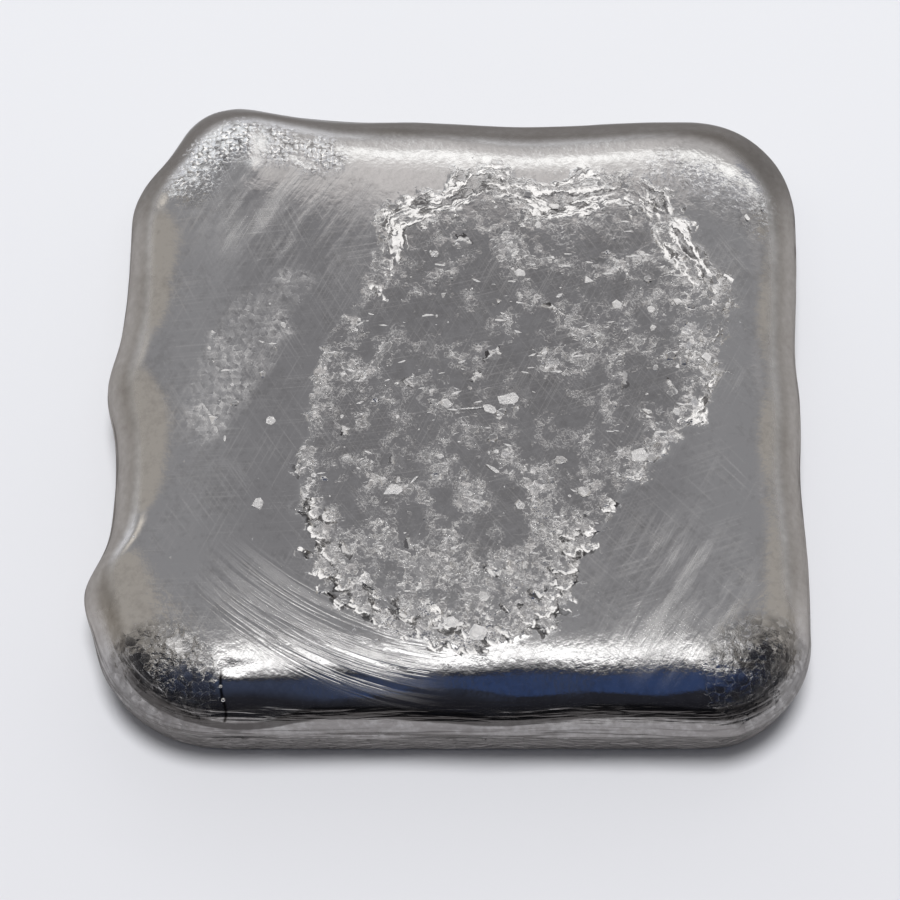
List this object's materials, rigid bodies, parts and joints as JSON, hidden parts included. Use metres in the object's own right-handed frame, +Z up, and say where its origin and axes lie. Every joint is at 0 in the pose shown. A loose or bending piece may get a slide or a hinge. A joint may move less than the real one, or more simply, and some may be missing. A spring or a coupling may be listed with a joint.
{
  "type": "metal ingot",
  "caption": "Small square hand-poured ingot with a flat drafted base, a rounded overhanging shoulder with uneven lobes, and a smooth top with a frosted crystalline patch.",
  "frame": {"origin": "middle of the bounding box, on the surface that the flat base rests on", "axes": "+X along the front edge, left to right; +Y from the front to the back; +Z up, out of the base"},
  "size_m": [0.0454, 0.0432, 0.0085],
  "materials": {
    "cast_tin": "gloss"
  },
  "bodies": {
    "root": {"ingot": "cast_tin"}
  },
  "joints": []
}
